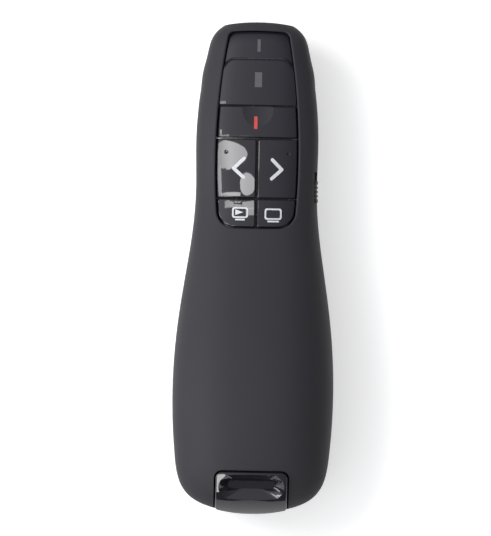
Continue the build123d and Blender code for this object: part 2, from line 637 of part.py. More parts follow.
top_shell += bosses & form(WALL - JOIN)
front_bore_top = PARTING_Z - FRONT_EAR + SCREW_LENGTH + SCREW_TIP_GAP
rear_bore_top = REAR_EAR_Z + SCREW_HEAD_HEIGHT + SCREW_LENGTH + SCREW_TIP_GAP
bore = SCREW_RADIUS + SCREW_GAP
top_shell -= pair(post(FRONT_SCREW[0], FRONT_SCREW_Y, (0, front_bore_top), bore))
top_shell -= pair(post(REAR_SCREW[0], REAR_SCREW_Y, (0, rear_bore_top), bore))
save(top_shell, "top_shell")

# ---------------------------------------------------------------- lower shell
front_of_door = block((-BIG, BIG), (DOOR_EDGE_Y, BIG), (0, PARTING_Z))
bottom_shell = (OUTER & front_of_door) - INNER
bulkhead = block((-BIG, BIG), (DOOR_EDGE_Y, DOOR_EDGE_Y + BULKHEAD), (0, PARTING_Z))
ear_z = (PARTING_Z - FRONT_EAR, PARTING_Z)
ears = block(
    (FRONT_SCREW[0] - EAR_RADIUS, FRONT_SCREW[0] + EAR_RADIUS),
    (FRONT_SCREW_Y, DOOR_EDGE_Y + JOIN),
    ear_z,
)
ears += post(FRONT_SCREW[0], FRONT_SCREW_Y, ear_z, BOSS_RADIUS)
bottom_shell += bulkhead & form(WALL - JOIN)
bottom_shell += pair(ears & form(WALL + SLIDE_CLEARANCE))
for from_front in CRADLES:
    y = LASER_FRONT_Y - from_front
    rib = block(
        (-CRADLE_WIDTH / 2, CRADLE_WIDTH / 2),
        (y - CRADLE_THICKNESS / 2, y + CRADLE_THICKNESS / 2),
        (0, LASER_Z),
    )
    bottom_shell += rib & form(WALL - JOIN)
seat_y = (laser_rear_y - PAST, LASER_FRONT_Y + LASER_END_GAP)
bottom_shell -= along_y(0, LASER_Z, seat_y, laser_radius + SCREW_GAP)
for x, from_nose in BOARD_SCREWS:
    y = NOSE_Y - from_nose
    bottom_shell += pair(post(x, y, (0, BOARD_Z), POST_RADIUS)) & form(WALL - JOIN)
    bore_z = (BOARD_TOP - BOARD_SCREW_LENGTH - SCREW_TIP_GAP, BOARD_Z + PAST)
    bottom_shell -= pair(post(x, y, bore_z, BOARD_SCREW_RADIUS + SCREW_GAP))
bottom_shell -= pair(post(FRONT_SCREW[0], FRONT_SCREW_Y, ear_z, SCREW_RADIUS + SCREW_PLAY))
driver_z = (ear_z[0] - 2 * SCREW_HEAD_HEIGHT, ear_z[0])
bottom_shell -= pair(post(FRONT_SCREW[0], FRONT_SCREW_Y, driver_z, SCREW_HEAD_RADIUS + SCREW_PLAY))
bottom_shell -= along_y(0, LASER_Z, (LASER_FRONT_Y, BIG), APERTURE_RADIUS)
bottom_shell -= along_y(0, LASER_Z, (window_y - PAST, window_y + WINDOW_THICKNESS), WINDOW_RADIUS)
bottom_shell -= block(
    (-SHELF_WIDTH / 2 - DOOR_GAP, SHELF_WIDTH / 2 + DOOR_GAP),
    (DOOR_EDGE_Y - PAST, DOOR_EDGE_Y + BULKHEAD + PAST),
    (DECK_Z - SHELF_THICKNESS, BIG),
)
bottom_shell -= SEAM
save(bottom_shell, "bottom_shell")

# ---------------------------------------------------------------- battery box with receiver dock
box_y = (BAY_REAR_Y - END_WALL, BAY_FRONT_Y + END_WALL)
box = block((-BOX_HALF, BOX_HALF), box_y, (DECK_Z - BOX_END_SKIRT, DECK_Z))
bay_half = BOX_HALF - BOX_WALL
box -= block((-bay_half, bay_half), (BAY_REAR_Y, BAY_FRONT_Y), (0, ROOF_Z))
box -= block((-BIG, BIG), (BAY_REAR_Y, BAY_FRONT_Y), (0, DECK_Z - BOX_SKIRT - CEILING))
rails = block((BOX_HALF - JOIN, BOX_HALF + RAIL_REACH), box_y, (RAIL_Z, RAIL_Z + RAIL_HEIGHT))
box += pair(rails)
tunnel_face = section(form(WALL + SLIDE_CLEARANCE), section_by=Plane.XZ.offset(-DOOR_EDGE_Y))
box &= extrude(tunnel_face, BIG, both=True)
dock_y = (BAY_REAR_Y - END_WALL, DOCK_END_Y)
dock_x = CASE_WIDTH / 2 + DOCK_GAP
walls = block((dock_x, dock_x + BOX_WALL), dock_y, (DECK_Z - JOIN, CASE_Z + DOCK_HEIGHT))
runners = block((dock_x - DOCK_RAIL_WIDTH, dock_x + JOIN), dock_y, (DECK_Z - JOIN, DECK_Z + DOCK_RAIL))
box += pair(walls + runners)
box += block((-dock_x - JOIN, dock_x + JOIN), (DOCK_END_Y - END_WALL, DOCK_END_Y), (DECK_Z - JOIN, PLUG_Z))
ear_y = (REAR_SCREW_Y - EAR_RADIUS, REAR_SCREW_Y + EAR_RADIUS)
ear_z = (REAR_EAR_Z, REAR_EAR_Z + REAR_EAR)
ears = block((BOX_HALF - EAR_ROOT, REAR_SCREW[0]), ear_y, ear_z)
ears += block((BOX_HALF - EAR_ROOT, BOX_HALF), ear_y, (DECK_Z - JOIN, ear_z[1]))
ears += post(REAR_SCREW[0], REAR_SCREW_Y, ear_z, EAR_RADIUS)
box += pair(ears)
box -= pair(post(REAR_SCREW[0], REAR_SCREW_Y, (0, BIG), SCREW_RADIUS + SCREW_PLAY))
sink_z = (0, REAR_EAR_Z + SCREW_HEAD_HEIGHT)
box -= pair(post(REAR_SCREW[0], REAR_SCREW_Y, sink_z, SCREW_HEAD_RADIUS + SCREW_PLAY))
box += block(
    (-SHELF_WIDTH / 2, SHELF_WIDTH / 2),
    (BAY_FRONT_Y, DOOR_EDGE_Y + BULKHEAD),
    (DECK_Z - SHELF_THICKNESS, DECK_Z),
)
pad_place = (BOX_HALF - BOARD_PAD_FROM_SIDE, BAY_FRONT_Y - BOARD_OVERLAP / 2)
box += pair(post(*pad_place, (DECK_Z - JOIN, BOARD_Z), BOARD_PAD_RADIUS))
tab_hole = block(
    (CELL_X - TAB_WIDTH / 2, CELL_X + TAB_WIDTH / 2),
    (BAY_FRONT_Y - CONTACT_THICKNESS, BAY_FRONT_Y),
    (ROOF_Z - PAST, BOARD_Z),
)
box -= pair(tab_hole)
save(box, "battery_frame")

# ---------------------------------------------------------------- battery door
behind_edge = block((-BIG, BIG), (-BIG, DOOR_EDGE_Y - DOOR_GAP), (0, PARTING_Z - DOOR_GAP))
door = (OUTER & behind_edge) - INNER
hook_x = BOX_HALF + RAIL_REACH - HOOK_OVERLAP
hook_z = (RAIL_Z + RAIL_HEIGHT + HOOK_GAP, RAIL_Z + RAIL_HEIGHT + HOOK_GAP + HOOK_HEIGHT)
for from_nose in HOOKS_FROM_NOSE:
    y = NOSE_Y - from_nose
    hook = block((hook_x, BIG), (y - HOOK_LENGTH / 2, y + HOOK_LENGTH / 2), hook_z)
    door += pair(hook) & form(WALL - JOIN)
for k in range(GRIP_GROOVES):
    y = DOOR_EDGE_Y - GRIP_FROM_EDGE - k * GRIP_PITCH
    door -= Pos(0, y, 0) * Box(GRIP_LENGTH, GRIP_WIDTH, 2 * GRIP_DEPTH)
save(door, "battery_door")

# ---------------------------------------------------------------- cells and their contacts
cell_half = CELL_LENGTH / 2
profile = Polyline(
    (0, -cell_half),
    (CELL_RADIUS, -cell_half),
    (CELL_RADIUS, cell_half - NUB_LENGTH),
    (NUB_RADIUS, cell_half - NUB_LENGTH),
    (NUB_RADIUS, cell_half),
    (0, cell_half),
    close=True,
)
cell = revolve(make_face(profile), Axis.Y)
left_y = BAY_FRONT_Y - CONTACT_THICKNESS - cell_half
right_y = BAY_REAR_Y + CONTACT_THICKNESS + cell_half
save(Pos(-CELL_X, left_y, CELL_Z) * cell, "left_cell")
save(Pos(CELL_X, right_y, CELL_Z) * Rot(0, 0, 180) * cell, "right_cell")


def contact_plate(x, y, width):
    """A flat contact against an end wall; y is the plate's rear face."""
    half = CONTACT_HEIGHT / 2
    z = (CELL_Z - half, CELL_Z + half)
    return block((x - width / 2, x + width / 2), (y, y + CONTACT_THICKNESS), z)


def sprung_tongue(x, y, way):
    """A bent tongue off a plate's face at y, towards its cell: way is +1 or -1 along Y."""
    reach = SPRING_SPACE - TONGUE_GAP - CONTACT_THICKNESS / 2
    foot = CELL_Z - CONTACT_HEIGHT / 2 + CONTACT_THICKNESS / 2
    top = CELL_Z + CONTACT_HEIGHT / 2 - CONTACT_THICKNESS
    bends = [
        (0, foot),
        (reach, CELL_Z - TONGUE_FLAT),
        (reach, CELL_Z + TONGUE_FLAT),
        (CONTACT_THICKNESS, top),
    ]
    line = Polyline(*[(way * out, z) for out, z in bends])
    strip = Plane.YZ * trace(line, CONTACT_THICKNESS)
    return Pos(x, y, 0) * extrude(strip, TONGUE_WIDTH / 2, both=True)


def board_tab(x):
    """A narrow tab from a front contact up to the board."""
    y = (BAY_FRONT_Y - CONTACT_THICKNESS, BAY_FRONT_Y)
    return block((x - TAB_WIDTH / 2, x + TAB_WIDTH / 2), y, (CELL_Z, BOARD_Z))


front_plate_y = BAY_FRONT_Y - CONTACT_THICKNESS
save(contact_plate(-CELL_X, front_plate_y, CONTACT_WIDTH) + board_tab(-CELL_X), "positive_contact")
negative = contact_plate(CELL_X, front_plate_y, CONTACT_WIDTH) + board_tab(CELL_X)
negative += sprung_tongue(CELL_X, front_plate_y, -1)
save(negative, "negative_contact")
bridge = contact_plate(0, BAY_REAR_Y, 2 * CELL_X + CONTACT_WIDTH)
bridge += sprung_tongue(-CELL_X, BAY_REAR_Y + CONTACT_THICKNESS, 1)
save(bridge, "bridge_contact")

# ---------------------------------------------------------------- receiver
cap_half = CAP_WIDTH / 2
cap_edge_y = CAP_REAR_Y + CAP_REAR_BOW
cap_rear = ThreePointArc((-cap_half, cap_edge_y), (0, CAP_REAR_Y), (cap_half, cap_edge_y))
cap_rest = Polyline(cap_rear @ 1, (cap_half, CAP_FRONT_Y), (-cap_half, CAP_FRONT_Y), cap_rear @ 0)
cap_face = make_face([cap_rear, cap_rest])
cap_face = fillet(cap_face.vertices().sort_by(Axis.Y)[:2], CAP_REAR_CORNER)
cap_face = fillet(cap_face.vertices().sort_by(Axis.Y)[-2:], CAP_CORNER)
cap_shift = CAP_OVERHANG - RECEIVER_PROUD
cap = upright(cap_face, CAP_FLOOR_Z) & (Pos(0, -cap_shift, 0) * form(-RECEIVER_PROUD))
cap = fillet(cap.faces().sort_by(SortBy.AREA)[-1].edges(), CAP_ROUNDING)
scoop_y = CAP_FRONT_Y - SCOOP_FROM_EDGE - SCOOP_LENGTH / 2
scoop_ends = [scoop_y + side * SCOOP_LENGTH / 2 for side in (1, -1)]
front_z, rear_z = [surface_z(SCOOP_WIDTH / 2, y + cap_shift, -RECEIVER_PROUD) for y in scoop_ends]
tilt = math.degrees(math.atan2(front_z - rear_z, SCOOP_LENGTH))
scoop_place = Pos(0, scoop_y, (front_z + rear_z) / 2) * Rot(tilt, 0, 0)
scoop_faces = []
for depth in (-SCOOP_OVERSHOOT, SCOOP_DEPTH):
    narrowing = 2 * SCOOP_SLOPE * depth / SCOOP_DEPTH
    width = SCOOP_WIDTH - narrowing
    length = SCOOP_LENGTH / math.cos(math.radians(tilt)) - narrowing
    lean = -SCOOP_LEAN * depth / SCOOP_DEPTH
    corner = min(SCOOP_CORNER, length / 2.2)
    scoop_faces.append(Pos(0, lean, -depth) * RectangleRounded(width, length, corner))
cap -= scoop_place * loft(scoop_faces)
spigot_half = CASE_WIDTH / 2 - CASE_WALL - SCREW_GAP
spigot_z = (CASE_Z + CASE_WALL + SCREW_GAP, CASE_Z + CASE_THICKNESS - CASE_WALL - SCREW_GAP)
cap += block((-spigot_half, spigot_half), (CAP_FRONT_Y - JOIN, CAP_FRONT_Y + SPIGOT), spigot_z)
save(cap, "receiver_cap")

case_y = (CAP_FRONT_Y, CASE_FRONT_Y)
case = block((-CASE_WIDTH / 2, CASE_WIDTH / 2), case_y, (CASE_Z, CASE_Z + CASE_THICKNESS))
case = fillet(case.edges().filter_by(Axis.Y), CASE_ROUNDING)
hollow_y = (CAP_FRONT_Y - PAST, CASE_FRONT_Y - CASE_WALL)
hollow_z = (CASE_Z + CASE_WALL, CASE_Z + CASE_THICKNESS - CASE_WALL)
hollow_half = CASE_WIDTH / 2 - CASE_WALL
case -= block((-hollow_half, hollow_half), hollow_y, hollow_z)
plug_half = PLUG_WIDTH / 2
plug_z = (PLUG_Z - PLUG_HEIGHT / 2, PLUG_Z + PLUG_HEIGHT / 2)
case -= block((-plug_half, plug_half), (CASE_FRONT_Y - PLUG_ROOT, CASE_FRONT_Y + PAST), plug_z)
save(case, "receiver_case")

plug_y = (CASE_FRONT_Y - PLUG_ROOT, PLUG_FRONT_Y)
plug = block((-plug_half, plug_half), plug_y, plug_z)
inside_half = plug_half - PLUG_WALL
inside_z = (plug_z[0] + PLUG_WALL, plug_z[1] - PLUG_WALL)
plug -= block((-inside_half, inside_half), (plug_y[0] - PAST, plug_y[1] + PAST), inside_z)
hole_y = PLUG_FRONT_Y - PLUG_HOLE_PLACE[1]
hole = Pos(PLUG_HOLE_PLACE[0], hole_y, PLUG_Z) * Box(PLUG_HOLE, PLUG_HOLE, PLUG_HEIGHT + PAST)
plug -= pair(hole)
save(plug, "usb_shell")
tongue_y = (plug_y[0], PLUG_FRONT_Y - USB_TONGUE_SETBACK)
tongue_z = (inside_z[0], inside_z[0] + USB_TONGUE_THICKNESS)
save(block((-inside_half, inside_half), tongue_y, tongue_z), "usb_tongue")
contact_y = tongue_y[1] - USB_CONTACT[1] / 2 - USB_TONGUE_SETBACK
contacts = [chip(x, contact_y, USB_CONTACT, tongue_z[1]) for x in USB_CONTACTS]
save(Compound(children=contacts), "usb_contacts")
board_y = plug_y[0] - RECEIVER_BOARD[1] / 2
board_z = tongue_z[0] + (USB_TONGUE_THICKNESS - RECEIVER_BOARD[2]) / 2
save(chip(0, board_y, RECEIVER_BOARD, board_z), "receiver_board")
save(chip(0, board_y, RECEIVER_CHIP, board_z + RECEIVER_BOARD[2]), "receiver_chip")


# ---------------------------------------------------------------- screws
def screw(x, y, seat_z, way, radius, length, head):
    """A screw from the face its head seats on, pointing up (way 1) or down (way -1)."""
    head_radius, head_height = head
    shank = sorted((seat_z, seat_z + way * length))
    head_z = sorted((seat_z, seat_z - way * head_height))
    slot_z = seat_z - way * (head_height - DRIVE_SLOT[2] / 2)
    body = post(x, y, shank, radius) + post(x, y, head_z, head_radius)
    slot = Pos(x, y, slot_z) * Box(DRIVE_SLOT[0], DRIVE_SLOT[1], DRIVE_SLOT[2])
    return body - slot - Pos(x, y, slot_z) * Box(DRIVE_SLOT[1], DRIVE_SLOT[0], DRIVE_SLOT[2])


case_head = (SCREW_HEAD_RADIUS, SCREW_HEAD_HEIGHT)
case_screws = []
board_screws = []
for side in (1, -1):
    front = (side * FRONT_SCREW[0], FRONT_SCREW_Y, PARTING_Z - FRONT_EAR)
    rear = (side * REAR_SCREW[0], REAR_SCREW_Y, REAR_EAR_Z + SCREW_HEAD_HEIGHT)
    case_screws += [screw(*place, 1, SCREW_RADIUS, SCREW_LENGTH, case_head) for place in (front, rear)]
    for x, from_nose in BOARD_SCREWS:
        place = (side * x, NOSE_Y - from_nose, BOARD_TOP)
        board_screws.append(screw(*place, -1, BOARD_SCREW_RADIUS, BOARD_SCREW_LENGTH, BOARD_SCREW_HEAD))
save(Compound(children=case_screws), "case_screws")
save(Compound(children=board_screws), "board_screws")
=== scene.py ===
import math

import bmesh
import bpy
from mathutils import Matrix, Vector
from mathutils.bvhtree import BVHTree


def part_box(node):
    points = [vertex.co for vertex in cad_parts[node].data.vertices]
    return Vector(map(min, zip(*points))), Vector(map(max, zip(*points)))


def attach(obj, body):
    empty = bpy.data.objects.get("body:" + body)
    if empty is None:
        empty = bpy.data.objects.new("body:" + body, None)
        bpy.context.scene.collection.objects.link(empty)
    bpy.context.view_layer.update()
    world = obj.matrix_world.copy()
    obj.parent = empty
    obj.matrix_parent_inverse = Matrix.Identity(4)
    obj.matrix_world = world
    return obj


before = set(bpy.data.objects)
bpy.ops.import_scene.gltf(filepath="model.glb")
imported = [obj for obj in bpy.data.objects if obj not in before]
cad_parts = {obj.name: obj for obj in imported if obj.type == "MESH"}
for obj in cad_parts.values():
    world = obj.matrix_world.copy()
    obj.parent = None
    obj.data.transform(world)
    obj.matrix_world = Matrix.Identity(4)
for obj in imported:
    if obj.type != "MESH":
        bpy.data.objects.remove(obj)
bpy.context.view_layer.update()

# ---------------------------------------------------------------- lower shell
# The front half of the underside: a thin ABS moulding that carries the laser, the circuit board's
# posts and the ears of the front screws. It is sprayed with soft-touch paint, matt and a little
# warm to the hand, which rubs smoother where fingers hold it.


class Signal:
    """What one socket of a finish carries. An expression on it adds the Math nodes for it."""

    def __init__(self, finish, socket):
        self.finish = finish
        self.socket = socket

    def math(self, operation, *values):
        return self.finish.node("Math", {"operation": operation}, dict(enumerate(values)))

    def __add__(self, other):
        return self.math("ADD", self, other)

    def __radd__(self, other):
        return self.math("ADD", other, self)

    def __sub__(self, other):
        return self.math("SUBTRACT", self, other)

    def __rsub__(self, other):
        return self.math("SUBTRACT", other, self)

    def __mul__(self, other):
        return self.math("MULTIPLY", self, other)

    def __rmul__(self, other):
        return self.math("MULTIPLY", other, self)

    def __truediv__(self, other):
        return self.math("DIVIDE", self, other)

    def __pow__(self, other):
        return self.math("POWER", self, other)

    def __lt__(self, other):
        return self.math("LESS_THAN", self, other)

    def __gt__(self, other):
        return self.math("GREATER_THAN", self, other)

    def __or__(self, other):
        return self.math("MAXIMUM", self, other)


class Finish:
    """One procedural material, worked out node by node and fed into its Principled shader."""

    def __init__(self, name, **constants):
        self.material = bpy.data.materials.new(name)
        self.material.use_nodes = True
        self.tree = self.material.node_tree
        self.shader = self.tree.nodes["Principled BSDF"]
        self.paint({socket.replace("_", " "): value for socket, value in constants.items()})
        self.place = self.node("TexCoord", output="Object")

    def node(self, kind, settings=None, inputs=None, output=0):
        """Adds a node: its settings first, then the values or links of its sockets."""
        made = self.tree.nodes.new("ShaderNode" + kind)
        for setting, value in (settings or {}).items():
            setattr(made, setting, value)
        for key, value in (inputs or {}).items():
            self.feed(made.inputs[key], value)
        return Signal(self, made.outputs[output])

    def feed(self, socket, value):
        """Links a signal to a socket, or sets a plain value on it."""
        if isinstance(value, Signal):
            self.tree.links.new(value.socket, socket)
        else:
            socket.default_value = value

    def paint(self, sockets):
        """Feeds the shader's own sockets."""
        for name, value in sockets.items():
            self.feed(self.shader.inputs[name], value)

    def noise(self, scale, detail=2.0, place=None):
        """Uneven grey from 0 to 1, with that many blotches to the metre."""
        inputs = {"Vector": place or self.place, "Scale": scale, "Detail": detail}
        return self.node("TexNoise", {}, inputs)

    def shade(self, share, low, high):
        """A colour between two others."""
        return self.node("Mix", {"data_type": "RGBA"}, {0: share, 6: low, 7: high}, output=2)

    def relief(self, height, depth, strength):
        """Fine raised texture, depth metres from its lowest to its highest point."""
        inputs = {"Height": height, "Distance": depth, "Strength": strength}
        return self.node("Bump", {}, inputs)


def dress(finish, *nodes):
    """Gives the finish to pieces that come with the frame."""
    for name in nodes:
        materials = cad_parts[name].data.materials
        materials.clear()
        materials.append(finish.material)


def soft_touch():
    """Matt dark grey paint, a little cloudy, with a fine grain."""
    finish = Finish("soft_touch", IOR=1.42, Specular_IOR_Level=0.2)
    grain = finish.noise(3200.0)
    cloud = finish.noise(55.0, detail=3.0)
    rub = finish.noise(140.0, detail=5.0)
    dark = (0.0345, 0.0335, 0.0395, 1)
    light = (0.0420, 0.0410, 0.0475, 1)
    finish.paint(
        {
            "Base Color": finish.shade(cloud, dark, light),
            "Roughness": 0.52 + 0.10 * cloud + 0.06 * rub,
            "Normal": finish.relief(grain, depth=0.00003, strength=0.35),
        }
    )
    return finish


shell_finish = soft_touch()
dress(shell_finish, "bottom_shell")

# ---------------------------------------------------------------- laser module
# A turned brass barrel lies in two cradles of the lower shell, with a moulded lens pressed into its
# mouth and a small driver board soldered to its back. A clear disc glued behind the nose closes the
# hole that the beam leaves by.


def stretched(finish, x, y, z):
    """The surface's place with each axis drawn out by its own factor."""
    return finish.node("Mapping", {}, {"Vector": finish.place, "Scale": (x, y, z)})


def turned_brass():
    """Brass with the rings of a lathe tool round it."""
    finish = Finish("turned_brass", Metallic=1.0)
    rings = finish.noise(1.0, place=stretched(finish, 60.0, 9000.0, 60.0))
    tarnish = finish.noise(350.0, detail=4.0)
    dull = (0.50, 0.34, 0.12, 1)
    bright = (0.80, 0.60, 0.27, 1)
    finish.paint(
        {
            "Base Color": finish.shade(tarnish, dull, bright),
            "Roughness": 0.16 + 0.16 * tarnish + 0.08 * rings,
            "Normal": finish.relief(rings, depth=0.00002, strength=0.5),
        }
    )
    return finish


def clear_plastic():
    """Clear polished plastic with a trace of haze."""
    finish = Finish("clear_plastic", Transmission_Weight=1.0, IOR=1.49)
    haze = finish.noise(700.0, detail=3.0)
    smoky = (0.80, 0.83, 0.85, 1)
    clear = (0.92, 0.95, 0.96, 1)
    finish.paint(
        {
            "Base Color": finish.shade(haze, smoky, clear),
            "Roughness": 0.02 + 0.05 * haze,
        }
    )
    return finish


TRACE_WIDTH = 0.06  # as a share of the space between traces
PAD_RADIUS = 0.16  # as a share of the space between pads


def solder_mask_and_gap_shade():
    """Near-black solder mask over glass fibre, with raised copper traces and bare tinned pads. Its
    near-black is painted shade for the key gaps over the board.
    """
    finish = Finish("solder_mask_and_gap_shade", Coat_Roughness=0.15)
    traces = finish.node(
        "TexVoronoi",
        {"feature": "DISTANCE_TO_EDGE", "distance": "EUCLIDEAN"},
        {"Vector": stretched(finish, 1.0, 0.6, 1.0), "Scale": 420.0, "Randomness": 0.55},
    )
    trace = traces < TRACE_WIDTH
    pads = finish.node("TexVoronoi", {"feature": "F1"}, {"Vector": finish.place, "Scale": 520.0})
    pad = pads < PAD_RADIUS
    glass_weave = finish.noise(1800.0, detail=3.0)
    # painted shade: the mask's near-black stands in for the shade seen through the key gaps
    mask = finish.shade(glass_weave, (0.006, 0.008, 0.007, 1), (0.010, 0.013, 0.012, 1))
    over_copper = finish.shade(trace, mask, (0.020, 0.026, 0.022, 1))
    tin = (0.62, 0.60, 0.55, 1)
    finish.paint(
        {
            "Base Color": finish.shade(pad, over_copper, tin),
            "Metallic": pad * 0.9,
            "Roughness": 0.28 + 0.12 * glass_weave,
            "Coat Weight": 0.5 - 0.5 * pad,
            "Normal": finish.relief(trace + pad, depth=0.00003, strength=0.6),
        }
    )
    return finish


board_finish_and_gap_shade = solder_mask_and_gap_shade()
dress(turned_brass(), "laser_barrel")
dress(clear_plastic(), "laser_lens", "laser_window")
dress(board_finish_and_gap_shade, "laser_board")

# ---------------------------------------------------------------- battery box and contacts
# One moulding holds the two cells, the rails that the door's hooks run under, and the receiver's
# dock on top. It is left as it comes from a spark-eroded mould. The contacts are stamped from
# nickel-plated spring strip and slide into slots in its end walls.


def moulded(name, low, high, roughness):
    """Plain moulded plastic with the fine pebble of a spark-eroded mould."""
    finish = Finish(name)
    pebble = finish.noise(2600.0, detail=4.0)
    flow = finish.noise(90.0, detail=3.0)
    finish.paint(
        {
            "Base Color": finish.shade(flow, low, high),
            "Roughness": roughness + 0.12 * pebble,
            "Normal": finish.relief(pebble, depth=0.00004, strength=0.5),
        }
    )
    return finish


def plated(name, low, high, roughness, grain):
    """Plated strip metal, with rolling marks along one axis."""
    finish = Finish(name, Metallic=1.0)
    rolled = finish.noise(1.0, detail=3.0, place=stretched(finish, *grain))
    stain = finish.noise(260.0, detail=4.0)
    finish.paint(
        {
            "Base Color": finish.shade(stain, low, high),
            "Roughness": roughness + 0.14 * rolled + 0.06 * stain,
            "Normal": finish.relief(rolled, depth=0.00001, strength=0.5),
        }
    )
    return finish


black_plastic = moulded(
    "black_plastic",
    low=(0.014, 0.014, 0.015, 1),
    high=(0.021, 0.021, 0.023, 1),
    roughness=0.46,
)
nickel = plated(
    "nickel",
    low=(0.52, 0.50, 0.46, 1),
    high=(0.70, 0.68, 0.64, 1),
    roughness=0.22,
    grain=(4000.0, 200.0, 200.0),
)
dress(black_plastic, "battery_frame")
dress(nickel, "positive_contact", "negative_contact", "bridge_contact")

# ---------------------------------------------------------------- circuit board
# Fibreglass board under near-black solder mask, screwed to posts of the lower shell. The mask is
# this dark as painted shade, so that the key gaps over the board look shaded. It carries the
# controller and radio chips, a crystal in a metal can, two light-emitting diodes and five tact
# switches with pressed steel covers.

PRESSED = ("laser", "back", "forward", "slideshow", "blank")
DOT_INSET = 0.18  # from two sides of the chip, as a share of each
DOT_RADIUS = 0.07  # as a share of the chip's width
PHOSPHOR_RADIUS = 0.45  # as a share of the diode's length


def distance(finish, point, place=None):
    """How far the surface is from a point, in metres."""
    ends = {0: place or finish.place, 1: point}
    return finish.node("VectorMath", {"operation": "DISTANCE"}, ends, "Value")


def epoxy(node):
    """Black moulded chip epoxy with a moulded dot beside its first leg."""
    low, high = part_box(node)
    size = high - low
    finish = Finish(node)
    first_leg = Vector((low.x + DOT_INSET * size.x, high.y - DOT_INSET * size.y, high.z))
    dot = distance(finish, first_leg) < DOT_RADIUS * size.x
    sand = finish.noise(5200.0, detail=3.0)
    black = (0.016, 0.016, 0.017, 1)
    grey = (0.045, 0.045, 0.047, 1)
    finish.paint(
        {
            "Base Color": finish.shade(dot, black, grey),
            "Roughness": 0.52 + 0.15 * sand - 0.2 * dot,
            "Normal": finish.relief(sand - dot, depth=0.00003, strength=0.6),
        }
    )
    return finish


def diode_resin(node):
    """Clear resin over a yellow phosphor dot."""
    low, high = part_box(node)
    finish = Finish(node, Coat_Weight=0.6, Coat_Roughness=0.05)
    dot = distance(finish, (low + high) / 2) < PHOSPHOR_RADIUS * (high.y - low.y)
    cast = finish.noise(1500.0)
    resin = (0.78, 0.78, 0.74, 1)
    phosphor = (0.75, 0.62, 0.16, 1)
    finish.paint(
        {
            "Base Color": finish.shade(dot, resin, phosphor),
            "Roughness": 0.25 + 0.15 * cast,
        }
    )
    return finish


pressed_steel = plated(
    "pressed_steel",
    low=(0.42, 0.42, 0.43, 1),
    high=(0.60, 0.60, 0.62, 1),
    roughness=0.26,
    grain=(200.0, 5000.0, 200.0),
)
grey_plastic = moulded(
    "stem_plastic",
    low=(0.028, 0.028, 0.029, 1),
    high=(0.040, 0.040, 0.042, 1),
    roughness=0.40,
)
dress(board_finish_and_gap_shade, "circuit_board")
for chip in ("controller_chip", "radio_chip"):
    dress(epoxy(chip), chip)
for diode in ("signal_led", "battery_led"):
    dress(diode_resin(diode), diode)
dress(pressed_steel, "crystal_can", *[f"{name}_switch" for name in PRESSED])
dress(grey_plastic, *[f"{name}_stem" for name in PRESSED])

# ---------------------------------------------------------------- power switch
# A small slide switch stands at the board's right edge. Its lever reaches into the back of a ridged
# knob, which a thumb pushes along a sunk track in the upper shell.

dull_steel = plated(
    "dull_steel",
    low=(0.14, 0.14, 0.15, 1),
    high=(0.20, 0.20, 0.21, 1),
    roughness=0.42,
    grain=(200.0, 3000.0, 200.0),
)
dress(dull_steel, "power_switch")
dress(grey_plastic, "power_lever")
dress(shell_finish, "power_knob")

# ---------------------------------------------------------------- upper shell
# The palm side, from nose to tail, with the opening for the keypad, the track of the power switch
# and the notch for the receiver. It has the same soft-touch paint as the lower half.

dress(shell_finish, "top_shell")

# ---------------------------------------------------------------- indicator panel
# A gloss black plate at the front of the keypad, stepped up behind its middle. Two smoked light
# pipes come up through it: a narrow one that blinks when a key is pressed and a wide one for a low
# battery.

HAIRLINE_LEVEL = 0.71  # only the highest streaks of the noise are hairlines


def gloss_black(name="gloss_black"):
    """Polished black plastic: deep gloss with faint smudges and hairlines."""
    finish = Finish(name, IOR=1.52)
    smudge = finish.noise(130.0, detail=5.0)
    waver = finish.noise(80.0, detail=0.0)
    streaks = finish.noise(1.0, place=stretched(finish, 7000.0, 160.0, 400.0))
    hairline = streaks > HAIRLINE_LEVEL
    clean = (0.0123, 0.0113, 0.0175, 1)
    smudged = (0.0153, 0.0143, 0.0218, 1)
    finish.paint(
        {
            "Base Color": finish.shade(smudge, clean, smudged),
            "Roughness": 0.015 + 0.03 * smudge + 0.06 * hairline,
            "Normal": finish.relief(waver, depth=0.00003, strength=0.35),
        }
    )
    return finish


def smoked_acrylic():
    """Dark translucent acrylic, frosted on its hidden side."""
    finish = Finish("smoked_acrylic", IOR=1.49, Coat_Weight=0.3, Coat_Roughness=0.08)
    frost = finish.noise(2200.0, detail=3.0)
    smoke = finish.noise(420.0)
    dark = (0.075, 0.075, 0.079, 1)
    light = (0.110, 0.110, 0.115, 1)
    finish.paint(
        {
            "Base Color": finish.shade(smoke, dark, light),
            "Roughness": 0.24 + 0.14 * frost,
            "Normal": finish.relief(frost, depth=0.00001, strength=0.3),
        }
    )
    return finish


gloss = gloss_black()
dress(gloss, "indicator_panel")
dress(smoked_acrylic(), "signal_light_pipe", "battery_light_pipe")

# ---------------------------------------------------------------- keys
# Five caps moulded in the same gloss black, each with a plunger over its tact switch and a lip that
# keeps it under the shell's rim. Back and forward have a dimple to feel for. The marks are
# pad-printed: a red bar for the laser, white chevrons, and two small screens.

MM = 0.001
PIP_RADIUS = 0.55 * MM
PIP_DEPTH = 0.15 * MM
PIPS = {"back": (-7.3 * MM, 27.25 * MM, 0), "forward": (7.4 * MM, 27.0 * MM, 0)}


def ramp(finish, value, start, end, shape="LINEAR"):
    """0 up to where the value reaches start, and 1 from where it reaches end."""
    inputs = {"Value": value, "From Min": start, "From Max": end}
    return finish.node("MapRange", {"interpolation_type": shape}, inputs, "Result")


